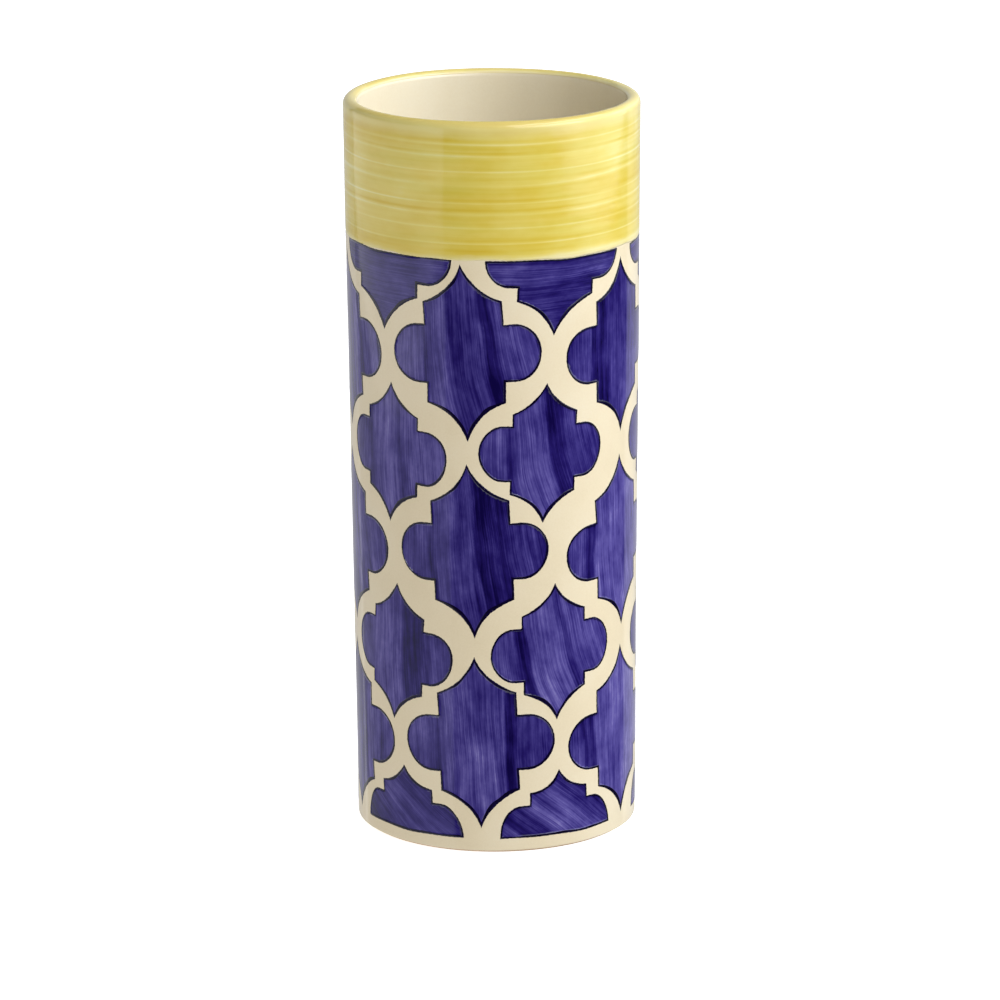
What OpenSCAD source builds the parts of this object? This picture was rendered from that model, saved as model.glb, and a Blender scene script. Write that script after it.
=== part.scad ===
// Cylinder vase in glazed earthenware, painted with a lattice of lobed cells under a yellow collar.
// The origin is at the centre of the foot, +Z points up, and all lengths are in millimetres.
// The middle of the painted front faces -Y.

/* [Vase] */
// Height from the foot to the top of the lip
vase_h = 254; // [235:1:300]
// Outer diameter at the lip, over glaze and paint
mouth_d = 100.8; // [92:0.2:112]
// Outer diameter at the foot, over glaze
foot_d = 96.4; // [90:0.2:108]
// Thickness of the clay wall
wall_t = 3.8; // [3:0.1:6]
// Radius of the outer edge of the foot
foot_edge_r = 1.5; // [1:0.25:2.5]
// Height of the recess under the base
recess_h = 3; // [2.5:0.25:4]
// Thickness of the clay base slab
slab_t = 5.5; // [4:0.5:8]
// Radius of the recess under the base, inside the foot ring
recess_r = 38; // [30:0.5:40]

/* [Glaze] */
// Thickness of the ivory glaze
glaze_t = 0.5; // [0.3:0.1:0.8]
// Height of bare clay left above the foot
bare_h = 0.8; // [0.5:0.1:1.5]
// Radius of the glaze where the inside wall meets the inside floor
pool_r = 4; // [2:0.5:8]
// Thickness of the glaze under the base
base_glaze_t = 0.4; // [0.2:0.1:0.6]

/* [Paint] */
// Thickness of the painted colours on the ivory glaze
paint_t = 0.2; // [0.1:0.05:0.4]
// Width of the dark contour round each cell
contour_w = 0.7; // [0.4:0.1:1.2]
// Height of the lower edge of the yellow collar
collar_z = 207.1; // [206:0.1:210]
// How far the yellow reaches over the lip, inward from its crest
collar_over = 2.2; // [0.5:0.1:2.4]

/* [Lattice] */
// Angles round the vase of the five columns of large cells, from the front towards the right
large_angles = [-9.6, 61, 134, 208, 281.8];
// Angles round the vase of the five columns of small and half cells
small_angles = [-44, 22.6, 96, 169.3, 242.6];
// How much higher or lower each column of large cells stands than its course
large_lifts = [0, -2.8, -3, -3.2, -3.5];
// How much higher or lower each column of small cells stands than its course
small_lifts = [0, 2, -0.6, -0.5, 0];
// Half width, core half width, half height, corner height, step height, flank bow, crown of a large cell
large_cell = [26.5, 13.7, 29.9, 16.8, 10, 2.3, 1.2];
// The same seven sizes of a small cell
small_cell = [22.6, 11.7, 24.4, 13.9, 9.6, 1.7, 0];
// The same seven sizes of a half cell hanging from the collar
top_cell = [26, 14.2, 26.4, 13.9, 9.3, 2, 0];
// The same seven sizes of a half cell standing on the foot band
foot_cell = [21.6, 11, 23.5, 16.1, 11.7, 1.8, 0];

/* [Hidden] */
$fn = 180;
eps = 0.01;
COLUMNS = 5;

// Gap between the collar and the half cells that hang from it
COLLAR_GAP = 0.1;

// Courses from the collar down: the cell's sizes, which half of it is there (1 upper, -1 lower, 0 whole),
// the height of its middle, then for the first column, the second and the others the hand-set shift round
// the wall and the turn in degrees, positive where the cell's top goes to the left.
COURSES = [
    [top_cell, -1, collar_z - COLLAR_GAP, [-1.6, 3.6, 1.2], [-3, -5, -3]],
    [large_cell, 0, 175, [-1.7, -0.9, -1.2], [2, 1, 2]],
    [small_cell, 0, 138.4, [-0.8, -2, -1.6], [-2, -2, -2]],
    [large_cell, 0, 106.4, [0.2, -0.4, 0], [2, 2, 2]],
    [small_cell, 0, 68.4, [0, 1.7, 1.8], [-3, 1, -1]],
    [large_cell, 0, 38.9, [1.9, 0.4, 1], [2, 1, 2]],
    [foot_cell, 1, 5.1, [3.9, 3.8, 3.4], [3, 2, 2]],
];

// Points along each curved stretch of a cell's outline
FLANK_STEPS = 6;
LOBE_STEPS = 14;
// How far a lobe runs straight out before it rounds
LOBE_RUN = 3;

// Clay surfaces
lip_r = wall_t / 2;
lip_z = vase_h - lip_r - glaze_t - paint_t;
foot_clay_r = foot_d / 2 - glaze_t;
mouth_clay_r = mouth_d / 2 - glaze_t - paint_t;
slope = (mouth_clay_r - foot_clay_r) / lip_z;
function outer_r(z) = foot_clay_r + slope * z;
function inner_r(z) = outer_r(z) - wall_t;
lip_x = outer_r(lip_z) - lip_r;
slab_z = recess_h;
floor_z = slab_z + slab_t;
paint_r = (mouth_clay_r + foot_clay_r) / 2 + glaze_t;

CELL_NAMES = [for (course = [1:len(COURSES)]) for (column = [1:COLUMNS]) cell_name(course, column)];
CONTOUR_NAMES = [for (course = [1:len(COURSES)]) contour_name(course)];

function cell_name(course, column) = str("cell_r", course, "_c", column);
function contour_name(course) = str("contour_r", course);

// ---- Outline of a cell ----

function unit(v) = v / norm(v);
function right_of(v) = [v.y, -v.x];

// Points from a to b, bowed to the right of the way by the given depth, without b itself
function bowed(a, b, depth, steps) = [
    for (i = [0:steps - 1])
        let (t = i / steps)
        a + (b - a) * t + right_of(unit(b - a)) * depth * 4 * t * (1 - t)
];

// Half an ellipse that bulges to the right, from the top down
function lobe(centre_x, radius_x, radius_z) = [
    for (i = [0:LOBE_STEPS])
        let (a = 90 - 180 * i / LOBE_STEPS)
        [centre_x + radius_x * cos(a), radius_z * sin(a)]
];

// The right half of a cell from its upper tip to its lower tip. A flank bows in from its chord, and the
// crown is what the cell gains in height above its lobes.
function right_side(cell) =
    let (
        half_w = cell[0],
        core_w = cell[1],
        half_h = cell[2],
        corner_z = cell[3],
        step_z = cell[4],
        flank_bow = cell[5],
        crown = cell[6],
        lobe_x = core_w + LOBE_RUN
    )
    concat(
        bowed([0, half_h + crown], [core_w, corner_z + crown], flank_bow, FLANK_STEPS),
        [[core_w, corner_z + crown], [core_w, step_z]],
        lobe(lobe_x, half_w - lobe_x, step_z),
        [[core_w, -step_z]],
        bowed([core_w, -corner_z], [0, -half_h], flank_bow, FLANK_STEPS)
    );

// The other half runs back up, mirrored
function mirrored(side) = [for (i = [len(side) - 1:-1:1]) [-side[i].x, side[i].y]];
function whole_cell(cell) = concat(right_side(cell), [[0, -cell[2]]], mirrored(right_side(cell)));

// Only the points above (part 1) or below (part -1) the middle line
function kept_part(points, part) = [for (p = points) if (part == 0 || part * p.y > -eps) p];

// The outline moved in by w, square to each edge; a sharp corner keeps its corner
function inset(points, w) =
    let (n = len(points))
    [
        for (i = [0:n - 1])
            let (
                into = right_of(unit(points[i] - points[(i + n - 1) % n])),
                out = right_of(unit(points[(i + 1) % n] - points[i])),
                middle = unit(into + out)
            )
            points[i] + middle * w / max(0.3, middle * into)
    ];

// A whole cell is turned about its middle; a half cell leans instead, so that its cut edge stays level
function turned(points, turn, part) = [
    for (p = points)
        part == 0
            ? [p.x * cos(turn) - p.y * sin(turn), p.x * sin(turn) + p.y * cos(turn)]
            : [p.x - p.y * tan(turn), p.y]
];

// From distance round the wall to the flat drawing that is projected on it
function wrapped(points) = [for (p = points) [paint_r * sin(p.x / paint_r * 180 / PI), p.y]];

// ---- Sections that are turned round the axis ----

// The clay wall with a skin on both faces, from the round edge of the foot to the lip
module wall_section(skin) {
    polygon([
        [inner_r(foot_edge_r) - skin, foot_edge_r],
        [outer_r(foot_edge_r) + skin, foot_edge_r],
        [outer_r(lip_z) + skin, lip_z],
        [inner_r(lip_z) - skin, lip_z],
    ]);
    translate([lip_x, lip_z]) circle(r = lip_r + skin);
    translate([outer_r(foot_edge_r) - foot_edge_r, foot_edge_r]) circle(r = foot_edge_r + skin);
}

// The space inside the clay wall above the base slab
module clay_cavity_section() {
    polygon([
        [0, floor_z],
        [inner_r(floor_z), floor_z],
        [inner_r(lip_z), lip_z],
        [0, lip_z],
    ]);
}

// The space that is left inside the glaze, with a round corner at the floor
module glazed_cavity_section() {
    z = floor_z + glaze_t;
    corner_z = z + pool_r;
    corner_x = inner_r(corner_z) - glaze_t;
    translate([0, z]) square([corner_x - pool_r, pool_r + eps]);
    translate([corner_x - pool_r, corner_z]) circle(r = pool_r);
    polygon([
        [0, corner_z],
        [corner_x, corner_z],
        [inner_r(lip_z) - glaze_t, lip_z + eps],
        [0, lip_z + eps],
    ]);
}

// Everything outside the middle line of the wall, above the given height
module outside_region(from_z) {
    polygon([
        [outer_r(0) - lip_r, from_z],
        [mouth_d, from_z],
        [mouth_d, vase_h + 1],
        [lip_x, vase_h + 1],
        [lip_x, lip_z],
    ]);
}

// A thin layer that follows the painted face of the vase
module paint_shell() {
    difference() {
        cylinder(h = lip_z, r1 = outer_r(0) + glaze_t + paint_t, r2 = outer_r(lip_z) + glaze_t + paint_t);
        cylinder(h = lip_z, r1 = outer_r(0) + glaze_t, r2 = outer_r(lip_z) + glaze_t);
    }
}

// A flat outline driven straight in through the front wall, then turned to its place
module through_wall(angle, z) {
    rotate([0, 0, angle])
        translate([0, 0, z])
            rotate([90, 0, 0])
                translate([0, 0, recess_r / 2])
                    linear_extrude(height = mouth_d / 2)
                        children();
}

// ---- Clay ----

module body_wall() {
    color("#c9a98a")
        rotate_extrude() difference() {
            union() {
                wall_section(0);
                translate([recess_r, 0])
                    square([outer_r(foot_edge_r) - foot_edge_r - recess_r, slab_z]);
            }
            translate([0, slab_z]) square([inner_r(slab_z) - eps, floor_z]);
        }
}

module body_floor() {
    color("#c3a283")
        translate([0, 0, slab_z])
            cylinder(h = slab_t, r1 = inner_r(slab_z), r2 = inner_r(floor_z));
}

// ---- Glazes ----

module inner_glaze() {
    color("#e9ddbf")
        rotate_extrude() {
            difference() {
                clay_cavity_section();
                glazed_cavity_section();
            }
            intersection() {
                difference() {
                    translate([lip_x, lip_z]) circle(r = lip_r + glaze_t);
                    translate([lip_x, lip_z]) circle(r = lip_r);
                }
                translate([0, lip_z]) square([lip_x, vase_h]);
            }
        }
}

module outer_glaze() {
    color("#f1e6c8")
        rotate_extrude() intersection() {
            difference() {
                wall_section(glaze_t);
                wall_section(0);
            }
            outside_region(bare_h);
        }
}

module collar_glaze() {
    color("#ecdc72")
        rotate_extrude() intersection() {
            difference() {
                wall_section(glaze_t + paint_t);
                wall_section(glaze_t);
            }
            union() {
                outside_region(collar_z);
                translate([lip_x - collar_over, lip_z]) square([2 * collar_over, vase_h]);
            }
        }
}

module base_glaze() {
    color("#e6dabb")
        translate([0, 0, slab_z - base_glaze_t])
            cylinder(h = base_glaze_t, r = recess_r);
}

// ---- Painted lattice ----

function is_large(row) = row[0] == large_cell;

// A hand-set value of one cell in its course's list for the first column, the second and the others
function of_column(values, column) = values[min(column, len(values)) - 1];

// The angle of a cell's middle: its column, and the shift that the painter's hand gave it
function cell_angle(row, column) =
    let (angles = is_large(row) ? large_angles : small_angles)
    angles[column - 1] + of_column(row[3], column) / paint_r * 180 / PI;

// The height of a cell's middle; half cells keep to the edge that cuts them
function cell_z(row, column) =
    let (lifts = is_large(row) ? large_lifts : small_lifts)
    row[2] + (row[1] == 0 ? lifts[column - 1] : 0);

// The outline of one cell on the flat drawing, moved in by w
function cell_outline(row, column, w) =
    let (outline = kept_part(whole_cell(row[0]), row[1]))
    wrapped(turned(w > 0 ? inset(outline, w) : outline, of_column(row[4], column), row[1]));

// The cobalt fill of one cell, inside its contour
module cell(course, column) {
    row = COURSES[course - 1];
    color("#3b2f80")
        intersection() {
            paint_shell();
            through_wall(cell_angle(row, column), cell_z(row, column))
                polygon(cell_outline(row, column, contour_w));
        }
}

// The dark line round each cell of one course
module contour(course) {
    row = COURSES[course - 1];
    color("#140a3c")
        for (column = [1:COLUMNS])
            intersection() {
                paint_shell();
                through_wall(cell_angle(row, column), cell_z(row, column))
                    difference() {
                        polygon(cell_outline(row, column, 0));
                        polygon(cell_outline(row, column, contour_w));
                    }
            }
}

body_wall();
body_floor();
inner_glaze();
outer_glaze();
collar_glaze();
base_glaze();
for (course = [1:len(COURSES)]) {
    contour(course);
    for (column = [1:COLUMNS])
        cell(course, column);
}
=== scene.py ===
import math
from collections import namedtuple

import bpy
import numpy as np
from mathutils import Matrix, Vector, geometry

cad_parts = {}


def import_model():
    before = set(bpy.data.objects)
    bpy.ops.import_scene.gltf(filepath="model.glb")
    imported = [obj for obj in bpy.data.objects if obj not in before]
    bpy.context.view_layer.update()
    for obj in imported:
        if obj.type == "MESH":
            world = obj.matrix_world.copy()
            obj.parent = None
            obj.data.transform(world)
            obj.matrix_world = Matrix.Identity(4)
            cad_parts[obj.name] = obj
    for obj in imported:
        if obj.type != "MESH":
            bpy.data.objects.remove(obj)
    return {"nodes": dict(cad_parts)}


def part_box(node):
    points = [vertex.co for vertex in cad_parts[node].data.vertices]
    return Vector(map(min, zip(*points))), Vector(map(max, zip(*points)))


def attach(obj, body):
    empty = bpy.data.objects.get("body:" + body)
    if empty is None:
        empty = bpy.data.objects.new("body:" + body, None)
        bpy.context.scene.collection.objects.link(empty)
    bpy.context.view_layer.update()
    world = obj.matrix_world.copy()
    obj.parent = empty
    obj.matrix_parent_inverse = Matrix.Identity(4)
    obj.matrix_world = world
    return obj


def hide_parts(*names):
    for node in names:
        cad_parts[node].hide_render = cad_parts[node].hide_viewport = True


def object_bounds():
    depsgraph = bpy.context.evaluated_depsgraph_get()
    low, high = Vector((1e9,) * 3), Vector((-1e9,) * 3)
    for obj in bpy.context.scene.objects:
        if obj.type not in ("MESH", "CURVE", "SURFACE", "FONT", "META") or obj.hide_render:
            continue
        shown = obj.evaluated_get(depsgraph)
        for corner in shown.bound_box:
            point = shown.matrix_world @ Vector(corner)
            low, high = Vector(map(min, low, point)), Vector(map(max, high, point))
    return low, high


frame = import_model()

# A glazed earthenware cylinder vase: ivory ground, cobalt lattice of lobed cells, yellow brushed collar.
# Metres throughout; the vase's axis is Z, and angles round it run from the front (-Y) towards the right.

MM = 0.001
CAD_LOW, CAD_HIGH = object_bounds()

# ---- Driving dimensions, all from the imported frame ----

VASE_H = CAD_HIGH.z
MOUTH_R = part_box("collar_glaze")[1].x
GROUND_TOP_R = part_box("outer_glaze")[1].x
CLAY_TOP_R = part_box("body_wall")[1].x
LIP_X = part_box("inner_glaze")[1].x
GLAZE_T = GROUND_TOP_R - CLAY_TOP_R
LIP_R = CLAY_TOP_R - LIP_X
LIP_Z = VASE_H - (MOUTH_R - LIP_X)
WALL_T = 2 * LIP_R
SLAB_LOW, SLAB_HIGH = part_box("body_floor")
FLOOR_Z = SLAB_HIGH.z
SLAB_Z = SLAB_LOW.z
SLOPE = (CLAY_TOP_R - (SLAB_HIGH.x + WALL_T)) / (LIP_Z - FLOOR_Z)
RECESS_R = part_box("base_glaze")[1].x
RECESS_GLAZE_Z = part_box("base_glaze")[0].z
COLLAR_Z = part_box("collar_glaze")[0].z
BARE_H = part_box("outer_glaze")[0].z
# Radius of the glaze in the inside corner, and of the foot ring's inner edge
POOL_R = 4 * MM
RING_EDGE_R = 0.6 * MM
# A point lower than this is on the flat ring that the vase stands on
FLAT_H = 0.01 * MM
# How far the collar reaches over the lip's crest
COLLAR_OVER = 2.2 * MM
# Height of one brushed band of the collar
BAND_GAP = 4.9 * MM

# How far the painted colours stand above the ground glaze
FILL_H = 0.035 * MM
LINE_H = 0.05 * MM
COLLAR_H = 0.08 * MM
# Width of a contour where the brush is light, what it gains where the brush presses, the width of its
# soft edge, and how far each of two ripples moves its outer edge
LINE_W = 0.62 * MM
LINE_PRESS = 0.28 * MM
LINE_SOFT = 0.14 * MM
LINE_STRAY = 0.03 * MM
# How deep each painted patch is sunk into the ground glaze
SUNK = 0.15 * MM
# How much higher the ground glaze starts on its outer side than on the clay
GLAZE_LAP = 0.15 * MM
# Share of its thickness that the collar has at its lower edge, and the height by which it has all of it
COLLAR_THIN = 0.25
COLLAR_RISE = 0.4 * MM
# The glaze under the base: its gap to the foot ring, and the width and depth of its pool at the edge
BASE_GAP = 0.02 * MM
BASE_POOL_W = 1.2 * MM
BASE_POOL_H = 0.3 * MM

COURSES = 7
COLUMNS = 5
TURN = 2 * math.pi

# Waves of the hand-finished wall: height in millimetres, waves round the vase, turn in radians for each
# metre of height, and start
WALL_WAVES = [
    (0.085, 2, 21.0, 0.3),
    (0.050, 3, 47.0, 1.9),
    (0.022, 5, 88.0, 4.0),
    (0.010, 9, 210.0, 2.2),
]
# Waves of the lip and of the collar's ragged edge: height in millimetres, waves round the vase, and start
LIP_WAVES = [(0.10, 2, 0.6), (0.05, 5, 2.0)]
EDGE_WAVES = [(0.22, 7, 1), (0.14, 17, 2), (0.08, 41, 0)]
# How far the lip sits below its full height, so that no wave of it stands above that
LIP_SINK = 0.15 * MM
# Share of the lip's height from which its waves come in
LIP_WAVES_FROM = 0.9
# How far the collar's edge dips on one side, how far up the collar it is ragged, and how far down the
# hanging cells follow its dip
COLLAR_DIP = 0.7 * MM
RAGGED_REACH = 2 * MM
DIP_REACH = 12 * MM


def clay_r(z):
    """Radius of the clay's outer face."""
    return CLAY_TOP_R - SLOPE * (LIP_Z - z)


def flat_foot_r():
    """How far out the flat ring that the vase stands on reaches."""
    points = np.array([v.co for v in frame["nodes"]["body_wall"].data.vertices])
    low = points[points[:, 2] < FLAT_H]
    return np.hypot(low[:, 0], low[:, 1]).max()


FOOT_EDGE_R = clay_r(0) - flat_foot_r()


def hand(angle, z):
    """The slow unevenness of a hand-finished wall: how far it stands out, by angle and height."""
    return MM * sum(h * np.sin(k * angle + q * z + start) for h, k, q, start in WALL_WAVES)


def round_waves(angle, waves):
    """Waves round the vase, from a list of height, number and start."""
    return MM * sum(h * np.sin(k * angle + start) for h, k, start in waves)


def collar_dip(angle):
    """How far the collar's lower edge rises on one side of the vase and dips on the other."""
    return -COLLAR_DIP * np.sin(angle)


def on_wall(angle, radius, z):
    """Points at an angle round the vase, a radius before the hand's unevenness, and a height."""
    r = radius + hand(angle, z)
    return np.stack([r * np.sin(angle), -r * np.cos(angle), z], axis=1)


# ---- Meshes ----


def make_piece(name, points, faces, material, smooth=True):
    """A mesh object in the scene."""
    mesh = bpy.data.meshes.new(name)
    mesh.from_pydata([tuple(p) for p in points], [], faces)
    mesh.validate()
    mesh.materials.append(material)
    if smooth:
        mesh.shade_smooth()
    piece = bpy.data.objects.new(name, mesh)
    bpy.context.scene.collection.objects.link(piece)
    return piece


def stands_for(piece, slot, *nodes):
    """The piece rides on the vase's one body and takes the place of the CAD nodes."""
    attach(piece, "root")
    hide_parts(*nodes)


def arc(centre, radius, start, end, steps):
    """Points on an arc in the (radius, height) plane, by degrees from the outward direction."""
    angles = np.radians(np.linspace(start, end, steps + 1))
    return [(centre[0] + radius * math.cos(a), centre[1] + radius * math.sin(a)) for a in angles]


def run(start, end, steps):
    """Points on a straight line, both ends included."""
    t = np.linspace(0, 1, steps + 1)[:, None]
    return [tuple(p) for p in np.array(start) * (1 - t) + np.array(end) * t]


def lathe(name, section, material, segments=360, edge=None):
    """A closed section turned round the axis. edge(angle, z) may give its points other heights."""
    section = np.array(section)
    count = len(section)
    angles = np.arange(segments) * TURN / segments
    angle = np.repeat(angles, count)
    radius = np.tile(section[:, 0], segments)
    z = np.tile(section[:, 1], segments)
    if edge is not None:
        z = edge(angle, z)
    points = on_wall(angle, radius, z)
    points[:, 2] += lip_wave(angle, z)
    faces = []
    for i in range(segments):
        a, b = i * count, (i + 1) % segments * count
        for j in range(count):
            k = (j + 1) % count
            faces.append((a + j, b + j, b + k, a + k))
    return make_piece(name, points, faces, material)


def lathe_disc(name, section, material, segments=240):
    """An open section from the axis out to the rim and back to the axis, turned to a closed solid."""
    section = np.array(section)
    first, last, ring = section[0], section[-1], section[1:-1]
    count = len(ring)
    angle = np.repeat(np.arange(segments) * TURN / segments, count)
    points = on_wall(angle, np.tile(ring[:, 0], segments), np.tile(ring[:, 1], segments))
    points[:, 2] += lip_wave(angle, points[:, 2])
    points = np.vstack([points, [[0, 0, first[1]], [0, 0, last[1]]]])
    start, end = len(points) - 2, len(points) - 1
    faces = []
    for i in range(segments):
        a, b = i * count, (i + 1) % segments * count
        faces.append((start, b, a))
        for j in range(count - 1):
            faces.append((a + j, b + j, b + j + 1, a + j + 1))
        faces.append((a + count - 1, b + count - 1, end))
    return make_piece(name, points, faces, material)


def lip_wave(angle, z):
    """The lip isn't quite level: it rises and falls a little, and the wall below it doesn't."""
    share = np.clip((z / LIP_Z - LIP_WAVES_FROM) / (1 - LIP_WAVES_FROM), 0, 1)
    return share * (round_waves(angle, LIP_WAVES) - LIP_SINK)


# ---- The outline of a painted cell ----

# Core width as a share of a cell's half width; corner height, step height, flank bow and crown as shares
# of its half height. The crown is what a cell gains in height above its lobes.
LARGE = (0.517, 0.562, 0.334, 0.077, 0.040)
SMALL = (0.518, 0.570, 0.393, 0.070, 0.0)
HANGING = (0.546, 0.527, 0.352, 0.076, 0.0)
STANDING = (0.509, 0.685, 0.498, 0.077, 0.0)
# Which shape each course has, and which half of it is there: 1 upper, -1 lower, 0 whole
COURSE_SHAPES = [
    (HANGING, -1),
    (LARGE, 0),
    (SMALL, 0),
    (LARGE, 0),
    (SMALL, 0),
    (LARGE, 0),
    (STANDING, 1),
]
# Length of the straight stretch between a cell's core and the round of its lobe
LOBE_RUN = 3 * MM
# Length of a quarter of an ellipse, roughly, as a share of the sum of its two radii
ROUND_SHARE = 0.8
# Distance between the points of an outline, and between those that fill it above and below; and how near
# the outline these may be, as a share of that distance
POINT_GAP = 0.5 * MM
TOP_GAP = 0.62 * MM
UNDER_GAP = 4 * MM
NEAREST = 0.6
# The section of a patch of colour from its edge in: inset and height
FILL_STEPS = [
    (0.20 * MM, -SUNK),
    (0.20 * MM, 0.40 * FILL_H),
    (0.27 * MM, 0.85 * FILL_H),
    (0.45 * MM, FILL_H),
]


def unit(v):
    """The direction of v, one long."""
    return v / np.linalg.norm(v)


def right_of(v):
    """v after a quarter turn to the right."""
    return np.array([v[1], -v[0]])


def miter(corner, into, out, inset):
    """A corner moved in by inset from both of its edges."""
    return corner + (into + out) * inset / (1 + into @ out)


def bowed(start, end, depth, steps):
    """A line bowed to its right, with both ends."""
    t = np.linspace(0, 1, steps + 1)[:, None]
    side = right_of(unit(end - start))
    return start + (end - start) * t + side * depth * 4 * t * (1 - t)


def quarter(size, shares, inset):
    """The lower right quarter of a cell's edge, from its side down to its tip."""
    half_w, half_h = size
    core_w = shares[0] * half_w
    corner_z, step_z, bow = (share * half_h for share in shares[1:4])
    lobe_x = core_w + LOBE_RUN
    corner, tip = np.array([core_w, -corner_z]), np.array([0, -half_h])
    chord = tip - corner
    swing = right_of(unit(chord)) * bow * 4
    leaves, arrives = right_of(unit(chord + swing)), right_of(unit(chord - swing))
    corner_in = miter(corner, np.array([-1.0, 0.0]), leaves, inset)
    tip_in = miter(tip, arrives, arrives * [-1, 1], inset)
    step_in = np.array([core_w - inset, inset - step_z])
    lobe_in = np.array([lobe_x, inset - step_z])

    def steps(length):
        return max(2, round(length / POINT_GAP))

    a = np.linspace(0, math.pi / 2, steps((half_w - lobe_x + step_z) * ROUND_SHARE) + 1)[:, None]
    radii = np.array([half_w - lobe_x - inset, step_z - inset])
    lobe = [lobe_x, 0] + radii * np.hstack([np.cos(a), -np.sin(a)])
    return np.vstack(
        [
            lobe[:-1],
            run(lobe_in, step_in, steps(LOBE_RUN))[:-1],
            run(step_in, corner_in, steps(corner_z - step_z))[:-1],
            bowed(corner_in, tip_in, bow, steps(np.linalg.norm(chord))),
        ]
    )


def outline(size, shares, part, inset):
    """A cell's closed edge, clockwise, moved in by inset; always the same number of points."""
    right = quarter(size, shares, inset)
    left = (right * [-1, 1])[::-1]
    lower = np.vstack([right, left[1:]])
    if part == 0:
        upper = (lower * [-1, -1])[1:-1]
        step_z, corner_z = shares[2] * size[1], shares[1] * size[1]
        above = np.clip((upper[:, 1] - step_z) / (corner_z - step_z), 0, 1)
        upper[:, 1] += shares[4] * size[1] * above
        return np.vstack([lower, upper])
    lower[:, 1] = np.minimum(lower[:, 1], -inset)
    cut = np.array(run(lower[-1], lower[0], round(2 * size[0] / POINT_GAP)))[1:-1]
    loop = np.vstack([lower, cut])
    return loop if part < 0 else (loop * [1, -1])[::-1]


# ---- Where each cell is, read from the frame ----

# Radius at which a cell's width is measured
MEAN_R = (clay_r(0) + clay_r(LIP_Z)) / 2 + GLAZE_T
# No point of a cell is further round the vase from its middle than this
CELL_REACH = math.radians(34)
# A point this near the height of a half cell's straight edge is on that edge
CUT_EDGE = 0.05 * MM


def polar(node):
    """A CAD node's points as angles round the vase and heights."""
    points = np.array([v.co for v in frame["nodes"][node].data.vertices])
    return np.arctan2(points[:, 0], -points[:, 1]), points[:, 2]


class Place:
    """Where a cell is in the frame: its middle, its half width and half height, and its turn."""

    def __init__(self, course, column, part, crown):
        fill_angle, _ = polar(f"cell_r{course}_c{column}")
        middle = math.atan2(np.sin(fill_angle).mean(), np.cos(fill_angle).mean())
        angle, z = polar(f"contour_r{course}")
        offset = (angle - middle + math.pi) % TURN - math.pi
        own = np.abs(offset) < CELL_REACH
        x, z = offset[own] * MEAN_R, z[own]
        high, low = np.argmax(z), np.argmin(z)
        if part == 0:
            down, across = z[high] - z[low], x[low] - x[high]
            self.turn = math.atan2(across, down)
            self.half_h = math.hypot(across, down) / (2 + crown)
            rise = 1 / (2 + crown)
            middle_x, self.z = x[low] - across * rise, z[low] + down * rise
        else:
            tip, cut = (low, high) if part < 0 else (high, low)
            edge = x[np.abs(z - z[cut]) < CUT_EDGE]
            middle_x, self.z = (edge.min() + edge.max()) / 2, z[cut]
            self.half_h = abs(z[tip] - z[cut])
            self.turn = math.atan2(-part * (x[tip] - middle_x), self.half_h)
        self.half_w = (x.max() - x.min()) / 2
        self.angle = middle + middle_x / MEAN_R


class Pattern:
    """What the cells of one course share: their size and edge, and the sheet of triangles that fills it."""

    def __init__(self, course):
        self.course = course
        self.shares, self.part = COURSE_SHAPES[course - 1]
        crown = self.shares[4]
        self.places = [Place(course, column, self.part, crown) for column in range(1, COLUMNS + 1)]
        half_w = sum(place.half_w for place in self.places) / COLUMNS
        half_h = sum(place.half_h for place in self.places) / COLUMNS
        self.size = (half_w, half_h)
        self.edge = outline(self.size, self.shares, self.part, 0)
        self.inward = (outline(self.size, self.shares, self.part, POINT_GAP) - self.edge) / POINT_GAP
        self.sheet()

    def sheet(self):
        """The patch of colour: a thin sheet with a soft rim, closed below."""
        levels = len(FILL_STEPS)
        loops = [self.edge + self.inward * inset for inset, _ in FILL_STEPS]
        count = len(self.edge)
        top, top_faces = filled(loops[-1], TOP_GAP)
        under, under_faces = filled(loops[0], UNDER_GAP)
        self.flat = np.vstack(loops + [top, under])
        self.heights = np.concatenate(
            [np.full(count, height) for _, height in FILL_STEPS]
            + [np.full(len(top), FILL_H), np.full(len(under), -SUNK)]
        )
        self.rim_gap = gap_to(self.flat, self.edge)
        self.faces = strips(0, count, levels)
        top_ids = list(range((levels - 1) * count, levels * count + len(top)))
        under_ids = list(range(count)) + list(range(levels * count + len(top), len(self.flat)))
        self.faces += facing(top_faces, top_ids, self.flat, True)
        self.faces += facing(under_faces, under_ids, self.flat, False)


# Slanting waves over a cell. For each: height, length across and length up for one radian, and how much
# of the cell's seed goes into its start. The drifts and the pressure are in millimetres.
DRIFT_ACROSS = [(0.16, 5.1, 7.7, 1), (0.10, -4.4, 3.3, 2.2)]
DRIFT_UP = [(0.16, 6.3, -5.2, 1.7), (0.08, 2.9, 4.1, 3.1)]
PRESSURE = [(0.10, 1.9, 2.6, 1), (0.08, 4.3, -3.1, 2)]
TONE_DRIFT = [(0.05, 7, 11, 1), (0.04, -5, 4.7, 3)]


def slanting(x, z, seed, waves):
    """The sum of slanting waves at places given in millimetres."""
    return sum(h * np.sin(x / across + z / up + share * seed) for h, across, up, share in waves)


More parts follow.
